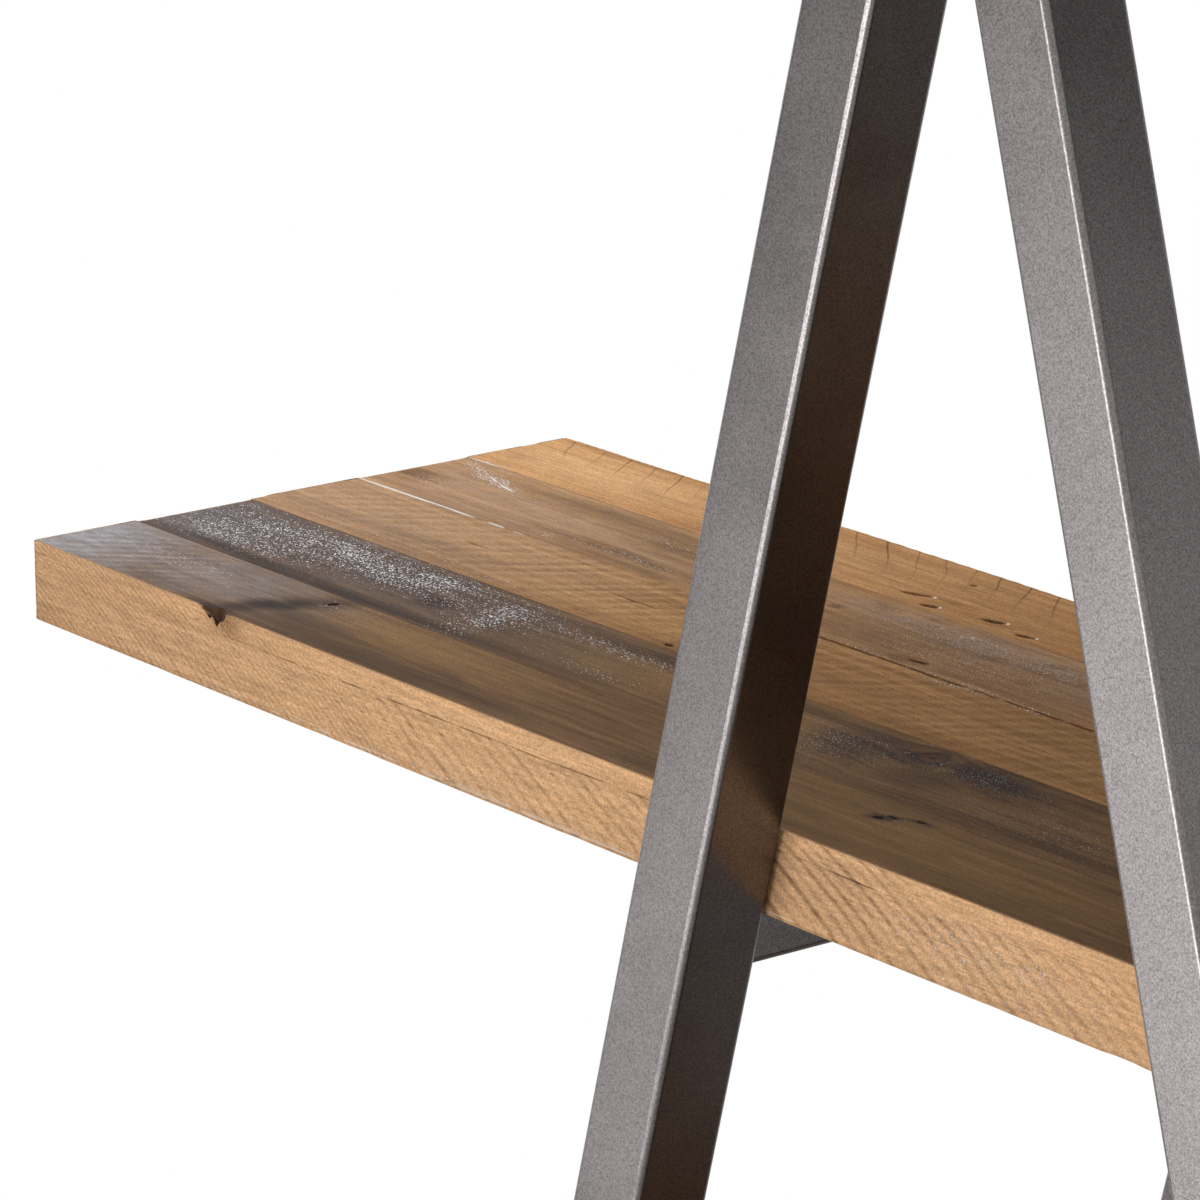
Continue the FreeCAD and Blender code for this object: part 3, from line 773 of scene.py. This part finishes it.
# Marks of its front edge: x from the left end, depth below the top, and the rest as above
TOP_EDGE = {
    "smooth": [(520, 3, 350, 8, 0, 1.0), (150, 20, 380, 40, 0, 0.3), (790, 25, 110, 40, 0, 0.4)],
    "pale": [(520, 3, 350, 8, 0, 0.8), (420, 22, 250, 26, 0, 0.4), (900, 20, 300, 26, 0, 0.7)],
    "filler": [(400, 37.5, 420, 1.8, 0, 0.42)],
    "kerf": [(598, 22, 52, 26, 0, 1.6)],
    "crack": [
        (330, 0, 160, 1, 0, 0.7), (600, 0, 40, 1, 0, 0.8), (760, 0, 90, 1, 0, 0.3),
        (1050, 0, 150, 1, 0, 0.7),
    ],
    "glint_speckle": [
        (260, 36, 280, 1.5, 0, 0.75), (740, 35.5, 190, 1.5, 0, 0.85), (1000, 36, 250, 3, 0, 0.6),
        (360, 30, 60, 8, 0, 0.55), (168, 6, 8, 4, 0, 0.6),
    ],
    "glint": [(700, 22, 90, 14, 0, 0.66)],
    # partly painted shade: darker at the bottom-left corner and along the bottom edge
    "stain_and_shade": [(20, 34, 40, 5, 0, 0.3), (162, 4, 14, 5, 12, 0.9), (300, 39, 400, 1.2, 0, 0.4)],
}


def drawn_marks(draw, front, back, start):
    """Marks by chance, for wood that the photograph doesn't show."""
    def some(count, lengths, widths, turn, amounts):
        spans = ((start, SHELF_LENGTH), (front, back), lengths, widths, (-turn, turn), amounts)
        return [tuple(draw.uniform(*span) for span in spans) for _ in range(count)]
    marks = {
        "stain_and_shade": some(6, (20, 150), (4, 20), 3, (0.3, 0.9)),
        "grey_skin_and_sheen": some(2, (60, 180), (12, 35), 3, (0.4, 0.9)),
        "pale": some(3, (60, 160), (6, 20), 3, (0.4, 0.8)),
        "glint_speckle": some(4, (30, 130), (5, 18), 3, (0.4, 0.95)),
        "knot": some(3, (6, 12), (4, 7), 25, (0.8, 1)),
        "kerf": some(2, (90, 220), (16, 30), 0, (0.4, 0.9)),
        "pit_and_shade": some(3, (3, 8), (1, 1.6), 30, (0.7, 1)),
        "dent": some(2, (6, 12), (3, 4), 20, (0.6, 1)),
        "filler": some(1, (20, 60), (0.8, 1), 20, (0.8, 0.9)),
        "check": some(1, (200, 300), (8, 14), 0, (0.5, 1)),
        "glint": [],
    }
    return {kind: [mark for mark in found if mark[0] > start + mark[2]] for kind, found in marks.items()}


def drawn_edge(draw):
    """Marks by chance for a long edge of a shelf."""
    places = [draw.uniform(100, SHELF_LENGTH - 100) for _ in range(6)]
    return {
        "smooth": [(places[0], 3, 300, 8, 0, 1.0)],
        "pale": [(places[0], 3, 300, 8, 0, 0.8), (places[1], 25, 120, 12, 0, 0.6)],
        "crack": [(places[0], 0, 280, 1, 0, 0.7), (places[2], 0, 90, 1, 0, 0.5)],
        "glint_speckle": [(places[3], 37, 200, 2, 0, 0.75), (places[4], 24, 120, 12, 0, 0.5)],
        # partly painted shade: the long dark line along the bottom edge
        "stain_and_shade": [(places[5], 34, 140, 6, 0, 0.5), (700, 39, 650, 1.2, 0, 0.4)],
    }


for shelf in ("bottom", "middle", "top"):
    seen = shelf == "top"
    for number, slot in enumerate(PLANK_SLOTS):
        draw = random.Random(f"{shelf} plank {number}")
        plank_front = ([0] + PLANK_BACKS)[number]
        marks = drawn_marks(draw, plank_front, PLANK_BACKS[number], SEEN_LENGTH if seen else 0)
        if seen:
            marks = {kind: TOP_MARKS[number].get(kind, []) + found for kind, found in marks.items()}
        seen_edge = seen and number == 0
        edge = TOP_EDGE if seen_edge else drawn_edge(draw)
        step = FINE_STEP if seen else PLAIN_STEP
        rings = INNER_RINGS
        if number in (0, 4):
            rings = FINE_RINGS if seen else PLAIN_RINGS
        node = f"{shelf}_shelf_plank_{number + 1}"
        plank(node, slot, number, marks, edge, step, rings, draw, CHIP if seen_edge else None)

# Studio: a pale floor that turns white away from the unit, an even white surround, a soft light in front
# and another over the left end, and a low one that only the metal shows. Dark cards at the right, on the
# floor and in front are seen only in reflections.

FLOOR_SIZE = 60
SHADOW_REACH = 1.2  # the floor takes shadows as far as this from the middle, and is white past the next
WHITE_REACH = 2.4
SURROUND = 0.35  # strength of the white surround as a light


def seen_directly(tree):
    """Which rays see white: those from the camera, in a reflection or through something clear."""
    rays = tree.nodes.new("ShaderNodeLightPath").outputs
    pair = {0: rays["Is Camera Ray"], 1: rays["Is Glossy Ray"]}
    direct = add_node(tree, "Math", pair, operation="MAXIMUM")
    return add_node(tree, "Math", {0: direct, 1: rays["Is Transmission Ray"]}, operation="MAXIMUM")


floor_paint, tree, surface = new_material("pale_floor")
surface.inputs["Base Color"].default_value = linear("F2F2F0")
surface.inputs["Roughness"].default_value = 0.9
place = add_node(tree, "TexCoord", {}, "Object")
reach = add_node(tree, "VectorMath", {0: place}, "Value", operation="LENGTH")
away = add_node(tree, "MapRange", {0: reach, 1: SHADOW_REACH, 2: WHITE_REACH})
share = add_node(tree, "Math", {0: away, 1: seen_directly(tree)}, operation="MULTIPLY")
white = add_node(tree, "Emission", {})
paint = add_node(tree, "MixShader", {0: share, 1: surface.outputs[0], 2: white})
tree.links.new(paint, tree.nodes["Material Output"].inputs[0])

bm = bmesh.new()
bmesh.ops.create_grid(bm, x_segments=1, y_segments=1, size=FLOOR_SIZE / 2)
mesh = bpy.data.meshes.new("floor")
bm.to_mesh(mesh)
bm.free()
mesh.materials.append(floor_paint)
floor = bpy.data.objects.new("floor", mesh)
bpy.context.collection.objects.link(floor)

world = bpy.data.worlds.new("studio")
world.use_nodes = True
tree = world.node_tree
level = add_node(tree, "MapRange", {0: seen_directly(tree), 3: SURROUND, 4: 1})
tree.nodes["Background"].inputs[0].default_value = linear("FFFFFF")
tree.links.new(level, tree.nodes["Background"].inputs[1])
bpy.context.scene.world = world


def soft_light(name, place, aim, width, height, watts):
    """A light with a soft edge, aimed at a point and not seen by the camera."""
    lamp = bpy.data.lights.new(name, "AREA")
    lamp.shape = "RECTANGLE"
    lamp.size = width
    lamp.size_y = height
    lamp.energy = watts
    light = bpy.data.objects.new(name, lamp)
    light.location = place
    light.rotation_euler = (Vector(aim) - Vector(place)).to_track_quat("-Z", "Y").to_euler()
    light.visible_camera = False
    bpy.context.collection.objects.link(light)
    return light


soft_light("front_light", (-0.4, -2.6, 0.9), (0, 0, 1.0), 1.2, 1.4, 36)
soft_light("left_light", (-1.4, 0.2, 1.75), (-0.5, 0, 1.15), 0.8, 0.8, 11)
shine = soft_light("shine", (-1.06, -1.58, 0.75), (0.1, -0.2, 1.3), 0.8, 1.0, 4.3)
shine.visible_diffuse = False


def dark_card(name, place, aim, width, height, code):
    """A card that only reflections show."""
    material, tree, surface = new_material(name)
    surface.inputs["Base Color"].default_value = linear(code)
    surface.inputs["Roughness"].default_value = 1
    surface.inputs["Specular IOR Level"].default_value = 0
    bm = bmesh.new()
    bmesh.ops.create_grid(bm, x_segments=1, y_segments=1, size=0.5)
    bmesh.ops.scale(bm, vec=(width, height, 1), verts=bm.verts)
    turn = (Vector(aim) - Vector(place)).to_track_quat("Z", "Y").to_matrix()
    bmesh.ops.rotate(bm, cent=(0, 0, 0), matrix=turn, verts=bm.verts)
    bmesh.ops.translate(bm, vec=place, verts=bm.verts)
    mesh = bpy.data.meshes.new(name)
    bm.to_mesh(mesh)
    bm.free()
    mesh.materials.append(material)
    card = bpy.data.objects.new(name, mesh)
    bpy.context.collection.objects.link(card)
    card.visible_camera = False
    card.visible_diffuse = False
    card.visible_shadow = False
    card.visible_transmission = False


dark_card("right_card", (2.6, 1.9, 3.2), (0.1, -0.2, 1.4), 4, 2.4, "383838")
dark_card("low_card", (1.6, 1.4, 0.02), (1.6, 1.4, 3), 2.0, 2.0, "808080")
dark_card("front_card", (-2.15, -1.3, 1.7), (-2.15, 0, 1.7), 1.8, 1.8, "202020")

# Camera: where the photograph was taken from, in front and to the right, a little above the top shelf.
# A long lens brings the shelf's left half close.

LENS = 178.43
CAMERA_PLACE = (1.65234, -1.61014, 1.93545)
CAMERA_TURN = 52.71
CAMERA_TILT = 15.86
CAMERA_ROLL = -0.27

camera = bpy.data.objects.new("camera", bpy.data.cameras.new("camera"))
camera.data.lens = LENS
camera.data.clip_end = 200
camera.matrix_world = (Matrix.Translation(CAMERA_PLACE) @ Matrix.Rotation(math.radians(CAMERA_TURN), 4, "Z")
                       @ Matrix.Rotation(math.radians(90 - CAMERA_TILT), 4, "X")
                       @ Matrix.Rotation(math.radians(CAMERA_ROLL), 4, "Z"))
bpy.context.collection.objects.link(camera)
bpy.context.scene.camera = camera
bpy.context.scene.view_settings.view_transform = "Standard"
